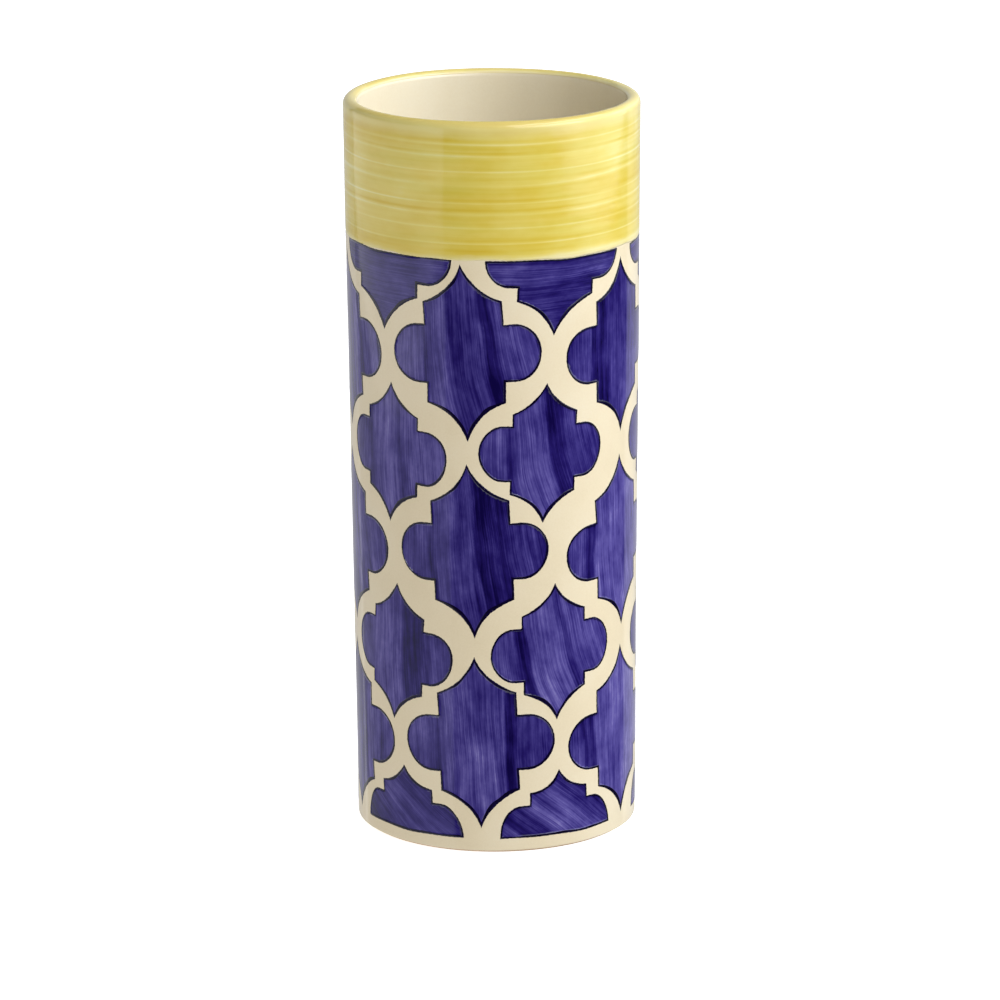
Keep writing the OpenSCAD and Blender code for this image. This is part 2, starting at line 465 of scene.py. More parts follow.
class Cell:
    """One painted cell: its place on the wall and the drift of the hand that drew it."""

    def __init__(self, pattern, column):
        self.pattern, self.course, self.column = pattern, pattern.course, column
        self.fill_node = f"cell_r{pattern.course}_c{column}"
        self.at = pattern.places[column - 1]
        self.seed = pattern.course * 7.3 + column * 3.1

    def wobble(self, points):
        """The small drift of a hand-drawn line."""
        x, z = points[:, 0] / MM, points[:, 1] / MM
        drift = [slanting(x, z, self.seed, waves) for waves in (DRIFT_ACROSS, DRIFT_UP)]
        return points + MM * np.stack(drift, axis=1)

    def place(self, points, height):
        """Flat points of the cell on the wall, at a height above the ground glaze."""
        points = self.wobble(points)
        x, z = points[:, 0], points[:, 1]
        if self.pattern.part == 0:
            c, s = math.cos(self.at.turn), math.sin(self.at.turn)
            x, z = x * c - z * s, x * s + z * c
        else:
            x = x - z * math.tan(self.at.turn)
        angle = self.at.angle + x / MEAN_R
        if self.pattern.part < 0:
            z = z + collar_dip(angle) * np.clip(1 + z / DIP_REACH, 0, 1)
        z = self.at.z + z
        return on_wall(angle, clay_r(z) + GLAZE_T + height, z)


def inside(points, loop):
    """Which points lie inside a closed loop."""
    a, b = loop, np.roll(loop, -1, axis=0)
    x, y = points[:, :1], points[:, 1:]
    crosses = (a[:, 1] > y) != (b[:, 1] > y)
    with np.errstate(divide="ignore", invalid="ignore"):
        at = (b[:, 0] - a[:, 0]) * (y - a[:, 1]) / (b[:, 1] - a[:, 1]) + a[:, 0]
    return (crosses & (x < at)).sum(axis=1) % 2 == 1


def gap_to(points, loop):
    """Distance from each point to the nearest point of a dense loop."""
    return np.sqrt(((points[:, None, :] - loop[None, :, :]) ** 2).sum(axis=2).min(axis=1))


def filled(loop, gap):
    """A loop filled with triangles on an even grid. Returns the added points and the faces."""
    low, high = loop.min(axis=0), loop.max(axis=0)
    row_gap = gap * math.sqrt(3) / 2
    rows = np.arange(low[1] + row_gap / 2, high[1], row_gap)
    grid = [
        (x, z)
        for i, z in enumerate(rows)
        for x in np.arange(low[0] + (i % 2) * gap / 2, high[0], gap)
    ]
    grid = np.array(grid)
    grid = grid[inside(grid, loop)]
    grid = grid[gap_to(grid, loop) > NEAREST * gap] if len(grid) else grid
    points = np.vstack([loop, grid])
    flat = [tuple(p / MM) for p in points]
    edges = [(i, (i + 1) % len(loop)) for i in range(len(loop))]
    out = geometry.delaunay_2d_cdt(flat, edges, [list(range(len(loop)))], 1, 1e-6)
    source = [ids[0] for ids in out[3]]
    faces = [tuple(source[i] for i in f) for f in out[2]]
    return grid, faces


def strips(base, count, levels, closed=False):
    """Quads between loops of count points each, numbered from base; closed joins the last to the first."""
    faces = []
    for level in range(levels if closed else levels - 1):
        a, b = base + level * count, base + (level + 1) % levels * count
        faces += [(a + i, a + (i + 1) % count, b + (i + 1) % count, b + i) for i in range(count)]
    return faces


def facing(faces, ids, flat, outward):
    """Triangles renumbered by ids, each turned to face outward or inward."""
    turned = []
    for face in faces:
        face = tuple(ids[i] for i in face)
        (ax, az), (bx, bz), (cx, cz) = flat[list(face)]
        left = (bx - ax) * (cz - az) - (bz - az) * (cx - ax) > 0
        turned.append(face if left == outward else face[::-1])
    return turned


def fill_mesh(cell, material):
    """The patch of brushed colour in one cell."""
    pattern = cell.pattern
    points = cell.place(pattern.flat, pattern.heights)
    piece = make_piece(f"paint_{cell.fill_node}", points, pattern.faces, material)
    brush_marks(piece.data, cell)
    return piece


# The brush presses on the lower edges of a cell, most of all towards this side
PRESS_SIDE = np.array([0.45, -0.89])


def contour_loops(cell):
    """The loops of the contour's section, outside in, with a height for each."""
    edge, inward = cell.pattern.edge, cell.pattern.inward
    x, z = edge[:, 0] / MM, edge[:, 1] / MM
    s = cell.seed
    outward = -inward / np.linalg.norm(inward, axis=1)[:, None]
    heavy = np.clip(outward @ PRESS_SIDE, 0, 1)
    width = LINE_W + LINE_PRESS * heavy + slanting(x, z, s, PRESSURE) * MM
    start = LINE_STRAY * (np.sin(x * 2.7 + z * 3.9 + s) + np.sin(x * 4.4 - z * 2.3 + 3 * s))
    levels = [
        (start, -SUNK),
        (start, 0.3 * LINE_H),
        (start + LINE_SOFT, 0.9 * LINE_H),
        ((start + width) / 2, LINE_H),
        (width - LINE_SOFT, LINE_H),
        (width, 0.7 * FILL_H),
        (width, -SUNK),
    ]
    return [(edge + inward * inset[:, None], height) for inset, height in levels]


def contour_mesh(course, cells, material):
    """The dark lines round the cells of one course."""
    points, faces, base = [], [], 0
    for cell in cells:
        loops = contour_loops(cell)
        count = len(cell.pattern.edge)
        points += [cell.place(flat, np.full(count, height)) for flat, height in loops]
        faces += strips(base, count, len(loops), closed=True)
        base += len(loops) * count
    return make_piece(f"paint_contour_r{course}", np.vstack(points), faces, material)


# ---- Brush marks ----

# How the brush went over a cell: turn of the strokes in degrees from upright, their lean, how the lean
# fans out across the cell, how it curls towards the foot, and the tone (0 dark, 1 pale) by place in
# millimetres across the strokes.
Wash = namedtuple("Wash", "turn lean fan curl stops")
WASHES = {
    (1, 1): Wash(90, 0, 0, 0, [(-25, 0.30), (-12, 0.34), (-4, 0.35), (0, 0.22)]),
    (1, 2): Wash(90, 0, 0, 0, [
        (-25, 0.34), (-12, 0.34), (-9, 0.28), (-6, 0.42), (-3, 0.40), (0, 0.22),
    ]),
    (2, 1): Wash(0, 0.05, 0.006, 0.004, [
        (-27, 0.45), (-15, 0.52), (-14.4, 0.22), (-13, 0.42), (-10, 0.50), (-6, 0.62), (-4.5, 0.30),
        (0, 0.36), (6, 0.44), (7.6, 0.10), (10, 0.10), (11.5, 0.40), (18, 0.50), (27, 0.40),
    ]),
    (2, 2): Wash(0, 0.02, 0, 0, [
        (-27, 0.42), (-16, 0.48), (-15, 0.16), (-11, 0.14), (-6, 0.32), (0, 0.38), (8, 0.42),
        (27, 0.50),
    ]),
    (3, 1): Wash(0, 0, 0.005, 0.005, [
        (-23, 0.42), (-12.5, 0.46), (-10.6, 0.30), (-8, 0.56), (-2, 0.68), (2, 0.58), (4.4, 0.30),
        (6, 0.50), (12, 0.56), (23, 0.52),
    ]),
    (3, 2): Wash(0, 0.16, 0.009, 0.007, [
        (-23, 0.42), (-14, 0.52), (-12.4, 0.12), (-11, 0.42), (-5, 0.54), (1.2, 0.50), (2.6, 0.14),
        (6, 0.18), (9, 0.38), (14, 0.42), (23, 0.36),
    ]),
    (4, 1): Wash(0, 0.04, 0.005, 0.002, [
        (-27, 0.46), (-15, 0.48), (-13.8, 0.24), (-12, 0.44), (-6, 0.50), (-3, 0.36), (1.6, 0.46),
        (2.4, 0.06), (6, 0.10), (9, 0.22), (11, 0.14), (14, 0.30), (20, 0.42), (27, 0.34),
    ]),
    (4, 2): Wash(0, 0.03, 0.003, 0.004, [
        (-27, 0.44), (-20, 0.44), (-18, 0.20), (-15.4, 0.16), (-14.6, 0.50), (-6, 0.62), (8, 0.60),
        (27, 0.55),
    ]),
    (5, 1): Wash(0, 0.03, 0.005, 0.003, [
        (-23, 0.46), (-13, 0.44), (-12, 0.54), (-4, 0.58), (2.4, 0.50), (4.2, 0.16), (9, 0.14),
        (12, 0.30), (16, 0.48), (23, 0.40),
    ]),
    (5, 2): Wash(0, 0.18, 0.008, 0.007, [
        (-23, 0.48), (-15, 0.44), (-13, 0.10), (-10.6, 0.16), (-9.6, 0.58), (-2, 0.66), (3, 0.56),
        (4.4, 0.30), (7, 0.48), (14, 0.52), (23, 0.46),
    ]),
    (6, 1): Wash(0, 0.02, 0, 0, [
        (-27, 0.46), (-18, 0.56), (-16.4, 0.34), (-14, 0.30), (-12, 0.46), (-4, 0.56), (4, 0.54),
        (9.4, 0.48), (10.2, 0.10), (12.6, 0.12), (13.6, 0.40), (20, 0.42), (27, 0.32),
    ]),
    (6, 2): Wash(0, 0.02, 0, 0, [
        (-27, 0.46), (-21, 0.40), (-19.6, 0.16), (-18.6, 0.44), (-16, 0.18), (-14.6, 0.58), (-6, 0.66),
        (8, 0.62), (27, 0.58),
    ]),
    (7, 1): Wash(52, 0, 0, 0, [
        (-24, 0.22), (-8, 0.24), (-1, 0.34), (3, 0.56), (6, 0.40), (9, 0.54), (13, 0.30), (24, 0.26),
    ]),
    (7, 2): Wash(50, 0, 0, 0, [
        (-24, 0.40), (-10, 0.42), (-7, 0.16), (-2, 0.34), (2, 0.66), (5, 0.44), (9, 0.60), (13, 0.34),
        (24, 0.28),
    ]),
}

# A cell that has no entry gets strokes by chance: their least and greatest width in millimetres, the least
# width of the last one, and the least and greatest tone of a stroke, of the dark seam after it and of the
# next stroke's start. The seam begins and ends this far before and after its middle.
STROKE_W = (7, 12)
LAST_STROKE_W = 8
STROKE_TONE = (0.34, 0.66)
SEAM_TONE = (0.06, 0.28)
START_TONE = (0.3, 0.6)
SEAM_BEFORE, SEAM_AFTER = 0.9, 1.6


def chance_wash(cell):
    """Brush work for a cell that has none of its own: strokes of mixed tone with dark seams between."""
    draw = np.random.default_rng(1000 * cell.course + cell.column)
    upright_course = 2 <= cell.course <= 6
    half = cell.pattern.size[0 if upright_course else 1] / MM
    turn = 0 if upright_course else (90 if cell.course == 1 else draw.uniform(40, 60))
    stops, place = [(-half, draw.uniform(0.36, 0.52))], -half
    while place < half - LAST_STROKE_W:
        place += draw.uniform(*STROKE_W)
        stops.append((place - SEAM_BEFORE, draw.uniform(*STROKE_TONE)))
        stops.append((place, draw.uniform(*SEAM_TONE)))
        stops.append((place + SEAM_AFTER, draw.uniform(*START_TONE)))
    lean, fan, curl = draw.uniform(-0.05, 0.15), draw.uniform(-0.002, 0.005), draw.uniform(0, 0.003)
    return Wash(turn, lean, fan, curl, stops)


# How much darker the wash is where it pools at a cell's rim, and how wide the pool is
POOL_TONE = 0.22
POOL_W = 1.0 * MM
# How far apart in the noise two cells lie whose seeds differ by one
SEED_STEP = 40
# The sway of the strokes: height and length for one radian in millimetres, and how much of the cell's seed
# goes into its start
STROKE_SWAY = [(0.5, 9, 1), (0.3, 4.1, 2)]


def brush_marks(mesh, cell):
    """Stores, for each point: where it is across and along the strokes, and the wash's tone."""
    wash = WASHES.get((cell.course, cell.column)) or chance_wash(cell)
    x, z = cell.pattern.flat[:, 0] / MM, cell.pattern.flat[:, 1] / MM
    a = math.radians(wash.turn)
    across, along = x * math.cos(a) + z * math.sin(a), z * math.cos(a) - x * math.sin(a)
    across = across + (wash.lean + wash.fan * across) * along - wash.curl * np.minimum(along, 0) ** 2
    s = cell.seed
    sway = sum(h * np.sin(along / length + share * s) for h, length, share in STROKE_SWAY)
    tone = np.interp(across + sway, *np.array(wash.stops).T)
    tone = tone + slanting(across, along, s, TONE_DRIFT)
    uneven = 0.7 + 0.3 * np.sin(x / 3.7 + z / 5.3 + s)
    tone = tone - POOL_TONE * uneven * np.exp(-((cell.pattern.rim_gap / POOL_W) ** 2))
    brush = mesh.attributes.new("brush", "FLOAT_VECTOR", "POINT")
    layer = np.full(len(x), SEED_STEP * s)
    brush.data.foreach_set("vector", np.stack([across, along, layer], axis=1).ravel())
    mesh.attributes.new("tone", "FLOAT", "POINT").data.foreach_set("value", tone)


# ---- Materials ----

# Noise is laid out in millimetres: its scale is how often it repeats in one. A swing is how far it moves
# the tone, which runs from 0, the darkest colour of a ramp, to 1, the palest.


def srgb(r, g, b):
    """A colour given as 0 to 255 steps, as the shader wants it."""
    steps = [c / 255 for c in (r, g, b)]
    return tuple(c / 12.92 if c <= 0.04045 else ((c + 0.055) / 1.055) ** 2.4 for c in steps) + (1.0,)


# Colours of each glaze, from the darkest tone to the palest, with their places on the ramp
IVORY = [
    (0.0, srgb(224, 207, 172)),
    (0.5, srgb(235, 220, 188)),
    (1.0, srgb(241, 230, 204)),
]
LINER = [
    (0.0, srgb(232, 219, 188)),
    (0.5, srgb(239, 229, 203)),
    (1.0, srgb(244, 237, 216)),
]
COBALT = [
    (0.0, srgb(12, 4, 62)),
    (0.25, srgb(34, 23, 98)),
    (0.5, srgb(64, 55, 128)),
    (0.75, srgb(98, 89, 160)),
    (1.0, srgb(150, 143, 200)),
]
CONTOUR = [
    (0.3, srgb(5, 1, 28)),
    (0.6, srgb(9, 3, 42)),
    (0.85, srgb(24, 12, 70)),
]
YELLOW = [
    (0.0, srgb(212, 178, 50)),
    (0.3, srgb(220, 194, 78)),
    (0.6, srgb(230, 211, 112)),
    (1.0, srgb(241, 234, 172)),
]
CLAY = [
    (0.0, srgb(176, 142, 112)),
    (0.5, srgb(205, 174, 142)),
    (1.0, srgb(224, 198, 168)),
]
BASE_GLAZE = [
    (0.0, srgb(214, 190, 154)),
    (0.5, srgb(232, 216, 182)),
    (1.0, srgb(240, 229, 202)),
]
# The collar's greener stretches, and the ivory that shows through it where it is thin
GREEN_TINT = srgb(206, 200, 88)
THIN_AT_EDGE = srgb(236, 224, 172)
THIN_NEAR_LIP = srgb(238, 228, 180)
THIN_ON_LIP = srgb(240, 230, 196)
# How far the collar's bands sway round the vase, and how uneven they are in height
BAND_SWAY = 3.0 * MM
BAND_UNEVEN = 6.0 * MM
# How ragged the collar's pale borders are; the height over which its colour comes in at the lower edge;
# how far below the lip it pales, and over what height; how far inside the crest it is worn, and over what
# width, and how far that border strays
BORDER_RAGGED = 2.4 * MM
EDGE_FADE = 2.2 * MM
LIP_FADE_FROM = 4.0 * MM
LIP_FADE = 3.0 * MM
WORN_FROM = 1.4 * MM
WORN_FADE = 0.7 * MM
WORN_RAGGED = 1.0 * MM
# Distance between the wheel's rings under the base
RING_GAP = 2.6 * MM


class Shader:
    """A small helper for node materials: a glossy principled surface and the nodes that feed it."""

    def __init__(self, name, roughness=0.1):
        self.material = bpy.data.materials.new(name)
        self.material.use_nodes = True
        self.tree = self.material.node_tree
        self.surface = self.tree.nodes["Principled BSDF"]
        self.surface.inputs["Roughness"].default_value = roughness

    def add(self, kind, **inputs):
        """A node with its inputs set or linked; a key is a socket's name or number."""
        node = self.tree.nodes.new(kind)
        for key, value in inputs.items():
            self.feed(node, key.replace("_", " "), value)
        return node

    def feed(self, node, key, value):
        socket = node.inputs[int(key) if key.isdigit() else key]
        if isinstance(value, bpy.types.NodeSocket):
            self.tree.links.new(value, socket)
        else:
            socket.default_value = value

    def math(self, operation, a, b=0.0, clamp=False):
        node = self.tree.nodes.new("ShaderNodeMath")
        node.operation = operation
        node.use_clamp = clamp
        self.feed(node, "0", a)
        self.feed(node, "1", b)
        return node.outputs[0]

    def position(self, scale=(1, 1, 1)):
        """The object's own coordinates in millimetres, times scale."""
        place = self.tree.nodes.new("ShaderNodeTexCoord").outputs["Object"]
        mapping = self.add("ShaderNodeMapping", Vector=place)
        mapping.inputs["Scale"].default_value = [s / MM for s in scale]
        return mapping.outputs[0]

    def ridge(self, value, middle, half_width):
        """A smooth crest, 1 where value is at middle and 0 beyond half_width from it."""
        away = self.math("ABSOLUTE", self.math("SUBTRACT", value, middle))
        slope = self.math("SUBTRACT", 1.0, self.math("DIVIDE", away, half_width), clamp=True)
        return self.math("POWER", slope, 1.5)

    def stored(self, name, output):
        """A value stored with the mesh's points."""
        node = self.add("ShaderNodeAttribute")
        node.attribute_name = name
        return node.outputs[output]

    def stretched(self, vector, scale):
        """A vector times scale."""
        mapping = self.add("ShaderNodeMapping", Vector=vector)
        mapping.inputs["Scale"].default_value = scale
        return mapping.outputs[0]

    def noise(self, vector, scale=1.0, detail=2.0, roughness=0.5):
        node = self.add("ShaderNodeTexNoise", Vector=vector, Scale=scale, Detail=detail, Roughness=roughness)
        return node.outputs["Fac"]

    def swing(self, value, depth):
        """Turns a 0 to 1 value to one that swings round zero by half of depth each way."""
        return self.math("MULTIPLY", self.math("SUBTRACT", value, 0.5), depth)

    def total(self, *parts, middle=0.5):
        """Parts added to a middle tone, kept between 0 and 1."""
        tone = parts[0]
        for part in parts[1:]:
            tone = self.math("ADD", tone, part)
        return self.math("ADD", tone, middle, clamp=True)

    def above(self, value, start, gain):
        """How far a value is above start, times gain, kept between 0 and 1."""
        return self.math("MULTIPLY", self.math("SUBTRACT", value, start), gain, clamp=True)

    def ramp(self, value, stops):
        """The colour at a value between 0 and 1."""
        node = self.add("ShaderNodeValToRGB", Fac=value)
        elements = node.color_ramp.elements
        while len(elements) < len(stops):
            elements.new(0.5)
        for element, (place, colour) in zip(elements, stops):
            element.position = place
            element.color = colour
        return node.outputs["Color"]

    def blend(self, share, a, b):
        """Colour a where share is 0, b where it is 1."""
        node = self.tree.nodes.new("ShaderNodeMix")
        node.data_type = "RGBA"
        self.feed(node, "0", share)
        for index, value in ((6, a), (7, b)):
            self.feed(node, str(index), value)
        return node.outputs[2]

    def reach(self, place):
        """Distance from the vase's axis."""
        flat = self.add("ShaderNodeVectorMath", **{"0": place, "1": (1.0, 1.0, 0.0)})
        flat.operation = "MULTIPLY"
        length = self.add("ShaderNodeVectorMath", **{"0": flat.outputs[0]})
        length.operation = "LENGTH"
        return length.outputs["Value"]

    def colour(self, value):
        self.feed(self.surface, "Base Color", value)

    def bump(self, height, depth_mm, strength=0.5):
        node = self.add("ShaderNodeBump", Height=height, Strength=strength, Distance=depth_mm * MM)
        self.feed(self.surface, "Normal", node.outputs["Normal"])


def ivory_material():
    """Ivory ground glaze: warm, with faint clouds and a fine fleck, and a gentle skin of unevenness."""
    s = Shader("ivory_glaze", roughness=0.1)
    clouds = s.noise(s.position(), 0.035, detail=3)
    fleck = s.noise(s.position(), 1.6, detail=1)
    s.colour(s.ramp(s.total(s.swing(clouds, 0.9), s.swing(fleck, 0.35)), IVORY))
    s.bump(s.noise(s.position(), 0.25, detail=2), 0.05, strength=0.35)
    return s.material


def liner_material():
    """The inside's glaze: a smooth cream, with slow drips down the wall and a fine fleck."""
    s = Shader("liner_glaze", roughness=0.1)
    drips = s.noise(s.position((1, 1, 0.15)), 0.06, detail=2)
    fleck = s.noise(s.position(), 1.2, detail=1)
    s.colour(s.ramp(s.total(s.swing(drips, 0.6), s.swing(fleck, 0.3)), LINER))
    s.bump(s.noise(s.position((1, 1, 0.4)), 0.2, detail=2), 0.06, strength=0.3)
    return s.material


def cobalt_material():
    """Brushed cobalt: the wash's tone, broken by bristle lines that follow the strokes."""
    s = Shader("cobalt_fill", roughness=0.08)
    strokes = s.stored("brush", "Vector")
    broad = s.noise(s.stretched(strokes, (0.6, 0.03, 1)), detail=2)
    bristles = s.noise(s.stretched(strokes, (2.2, 0.035, 1)), detail=2, roughness=0.6)
    scum = s.noise(s.stretched(strokes, (0.26, 0.13, 1)), detail=4, roughness=0.6)
    swings = [s.swing(broad, 0.55), s.swing(bristles, 0.72), s.swing(scum, 0.60)]
    s.colour(s.ramp(s.total(s.stored("tone", "Fac"), *swings, middle=0.02), COBALT))
    s.bump(bristles, 0.02, strength=0.25)
    return s.material


def contour_material():
    """The contour: almost black violet, thinner and bluer in places."""
    s = Shader("cobalt_line", roughness=0.12)
    s.colour(s.ramp(s.noise(s.position(), 0.45, detail=3), CONTOUR))
    return s.material


def collar_lines(s, height):
    """Each brushed band's pale line, low in it, and amber line, at its middle; both fade in places."""
    sway = s.swing(s.noise(s.position((0.012, 0.012, 0.02)), detail=1), BAND_SWAY)
    uneven = s.swing(s.noise(s.position((0, 0, 0.16)), detail=1), BAND_UNEVEN)
    band = s.math("FRACT", s.math("DIVIDE", s.math("ADD", height, s.math("ADD", sway, uneven)), BAND_GAP))
    pale = s.above(s.noise(s.position((0.016, 0.016, 0.12)), detail=2), 0.20, 2.4)
    amber = s.above(s.noise(s.position((0.02, 0.02, 0.14)), detail=2), 0.42, 4.0)
    pale_line = s.math("MULTIPLY", s.ridge(band, 0.18, 0.18), pale)
    amber_line = s.math("MULTIPLY", s.ridge(band, 0.46, 0.20), amber)
    return pale_line, amber_line


def yellow_material():
    """Yellow collar, brushed on while the vase turned: thin at its lower edge, worn pale over the lip, with
    painted sheen that pales its left and right sides as seen from the front.
    """
    s = Shader("yellow_glaze", roughness=0.08)
    place = s.tree.nodes.new("ShaderNodeTexCoord").outputs["Object"]
    split = s.add("ShaderNodeSeparateXYZ", Vector=place)
    height = s.math("SUBTRACT", split.outputs["Z"], COLLAR_Z)
    # Painted sheen: how far a point lies to the left or right, as seen from the front
    sheen_side = s.math("DIVIDE", split.outputs["X"], MOUTH_R)
    pale_line, amber_line = collar_lines(s, height)
    broad = s.noise(s.position((0.010, 0.010, 0.10)), detail=2)
    streaks = s.noise(s.position((0.020, 0.020, 0.55)), detail=2)
    clouds = s.noise(s.position((0.06, 0.06, 0.13)), detail=3)
    tone = s.total(
        s.swing(broad, 0.55),
        s.swing(streaks, 0.40),
        s.swing(clouds, 0.62),
        s.math("MULTIPLY", pale_line, 0.38),
        s.math("MULTIPLY", amber_line, -0.26),
        # Painted sheen: paler towards the left and right sides, darker across the front and back
        s.swing(s.math("MULTIPLY", sheen_side, sheen_side), 0.14),
        middle=0.46,
    )
    green = s.above(s.noise(s.position((0.035, 0.035, 0.16)), detail=2), 0.45, 3.0)
    glaze = s.blend(s.math("MULTIPLY", green, 0.30), s.ramp(tone, YELLOW), GREEN_TINT)
    ragged = s.swing(s.noise(s.position((0.12, 0.12, 0.3)), detail=3), BORDER_RAGGED)
    rise = s.math("DIVIDE", s.math("ADD", height, ragged), EDGE_FADE, clamp=True)
    glaze = s.blend(s.math("POWER", rise, 0.6), THIN_AT_EDGE, glaze)
    to_lip = s.math("SUBTRACT", height, LIP_Z - COLLAR_Z - LIP_FADE_FROM)
    to_lip = s.math("DIVIDE", s.math("ADD", to_lip, ragged), LIP_FADE, clamp=True)
    glaze = s.blend(s.math("MULTIPLY", to_lip, 0.30), glaze, THIN_NEAR_LIP)
    worn = s.swing(s.noise(s.position((0.06, 0.06, 0.06)), detail=3), WORN_RAGGED)
    past = s.math("ADD", s.math("SUBTRACT", LIP_X - WORN_FROM, s.reach(place)), worn)
    thin = s.math("MULTIPLY", s.math("DIVIDE", past, WORN_FADE, clamp=True), 0.6)
    s.colour(s.blend(thin, glaze, THIN_ON_LIP))
    s.bump(streaks, 0.08, strength=0.3)
    return s.material


def clay_material():
    """Bare fired clay: sandy, matte, with fine grog."""
    s = Shader("clay", roughness=0.85)
    grain = s.noise(s.position(), 2.2, detail=4, roughness=0.7)
    stain = s.noise(s.position(), 0.12, detail=3)
    s.colour(s.ramp(s.total(s.swing(grain, 0.8), s.swing(stain, 0.6)), CLAY))
    s.bump(grain, 0.12, strength=0.6)
    return s.material


def base_glaze_material():
    """The glaze under the base: thin, satin, with the wheel's rings showing through."""
    s = Shader("base_glaze", roughness=0.3)
    place = s.tree.nodes.new("ShaderNodeTexCoord").outputs["Object"]
    rings = s.math("SINE", s.math("MULTIPLY", s.reach(place), TURN / RING_GAP))
    rings = s.math("ADD", s.math("MULTIPLY", rings, 0.5), 0.5)
    cloud = s.noise(s.position(), 0.09, detail=4)
    s.colour(s.ramp(s.total(s.swing(cloud, 1.1), s.swing(rings, 0.12)), BASE_GLAZE))
    s.bump(rings, 0.08, strength=0.4)
    return s.material


def floor_material():
    """Plain pale paper, lit from within a little so that it stays near white."""
    s = Shader("studio_floor", roughness=0.9)
    s.surface.inputs["Base Color"].default_value = (0.9, 0.9, 0.9, 1)
    s.surface.inputs["Emission Color"].default_value = (1, 1, 1, 1)
    s.surface.inputs["Emission Strength"].default_value = 0.8
    return s.material


# ---- Shells ----


def face_line(skin, z_from, z_to, steps):
    """The wall's outer face with a skin on the clay."""
    return run((clay_r(z_from) + skin, z_from), (clay_r(z_to) + skin, z_to), steps)


def foot_arc(skin, low_z, steps=10):
    """The round edge of the foot, from where its height is low_z up to the wall."""
    centre = (clay_r(FOOT_EDGE_R) - FOOT_EDGE_R, FOOT_EDGE_R)
    radius = FOOT_EDGE_R + skin
    start = math.degrees(math.asin((low_z - FOOT_EDGE_R) / radius))
    return arc(centre, radius, start, 0, steps)


def clay_wall(material):
    """Clay wall with its foot ring and round lip."""
    cavity = run((clay_r(LIP_Z) - WALL_T, LIP_Z), (clay_r(SLAB_Z) - WALL_T, SLAB_Z), 8)
    section = (
        [(RECESS_R, SLAB_Z), (RECESS_R, RING_EDGE_R)]
        + arc((RECESS_R + RING_EDGE_R, RING_EDGE_R), RING_EDGE_R, 180, 270, 4)[1:]
        + arc((clay_r(FOOT_EDGE_R) - FOOT_EDGE_R, FOOT_EDGE_R), FOOT_EDGE_R, 270, 360, 12)
        + face_line(0, FOOT_EDGE_R, LIP_Z, 60)[1:]
        + arc((LIP_X, LIP_Z), LIP_R, 0, 180, 16)[1:]
        + cavity[1:]
    )
    piece = lathe("clay_wall", section, material, segments=300)
    stands_for(piece, "clay", "body_wall")


def ground_shell(material):
    """Ivory glaze over the outside, from just above the foot to the crest of the lip."""
    outer = (
        foot_arc(GLAZE_T, BARE_H + GLAZE_LAP)
        + face_line(GLAZE_T, FOOT_EDGE_R, LIP_Z, 130)[1:]
        + arc((LIP_X, LIP_Z), LIP_R + GLAZE_T, 0, 90, 10)[1:]
    )
    inner = (
        arc((LIP_X, LIP_Z), LIP_R, 90, 0, 10)
        + face_line(0, LIP_Z, FOOT_EDGE_R, 30)[1:]
        + foot_arc(0, BARE_H)[::-1][1:]
    )
    piece = lathe("ivory_ground", outer + inner, material)
    stands_for(piece, "ivory_glaze", "outer_glaze")


def liner_shell(material):
    """Ivory glaze inside, from the crest of the lip down the wall and over the floor."""
    top_z = FLOOR_Z + GLAZE_T
    corner_x = clay_r(top_z + POOL_R) - WALL_T - GLAZE_T - POOL_R
    inside_line = (
        run((0, top_z), (corner_x, top_z), 24)
        + arc((corner_x, top_z + POOL_R), POOL_R, 270, 360, 10)[1:]
        + run(
            (corner_x + POOL_R, top_z + POOL_R),
            (clay_r(LIP_Z) - WALL_T - GLAZE_T, LIP_Z),
            90,
        )[1:]
        + arc((LIP_X, LIP_Z), LIP_R + GLAZE_T, 180, 90, 10)[1:]
    )
    clay_line = (
        arc((LIP_X, LIP_Z), LIP_R, 90, 180, 10)
        + run((clay_r(LIP_Z) - WALL_T, LIP_Z), (clay_r(FLOOR_Z) - WALL_T, FLOOR_Z), 20)[1:]
        + run((clay_r(FLOOR_Z) - WALL_T, FLOOR_Z), (0, FLOOR_Z), 6)[1:]
    )
    piece = lathe_disc("ivory_liner", (inside_line + clay_line)[::-1], material)
    stands_for(piece, "liner_glaze", "inner_glaze")


def collar_shell(material):
    """Yellow glaze from the lattice up and over the lip, with a ragged lower edge."""
    skin = GLAZE_T + COLLAR_H
    over = math.degrees(math.asin(COLLAR_OVER / (LIP_R + skin)))
    outer = (
        face_line(GLAZE_T + COLLAR_THIN * COLLAR_H, COLLAR_Z, COLLAR_Z, 1)[:1]
        + face_line(skin, COLLAR_Z + COLLAR_RISE, LIP_Z, 110)
        + arc((LIP_X, LIP_Z), LIP_R + skin, 0, 90 + over, 22)[1:]
    )
    inner = (
        arc((LIP_X, LIP_Z), LIP_R + GLAZE_T - SUNK, 90 + over + 1, 0, 16)
        + face_line(GLAZE_T - SUNK, LIP_Z, COLLAR_Z, 16)[1:]
    )

    def ragged(angle, z):
        low = np.clip(1 - (z - COLLAR_Z) / RAGGED_REACH, 0, 1)
        return z + low * (round_waves(angle, EDGE_WAVES) + collar_dip(angle))

    piece = lathe("yellow_collar", outer + inner, material, edge=ragged)
    stands_for(piece, "yellow_glaze", "collar_glaze")


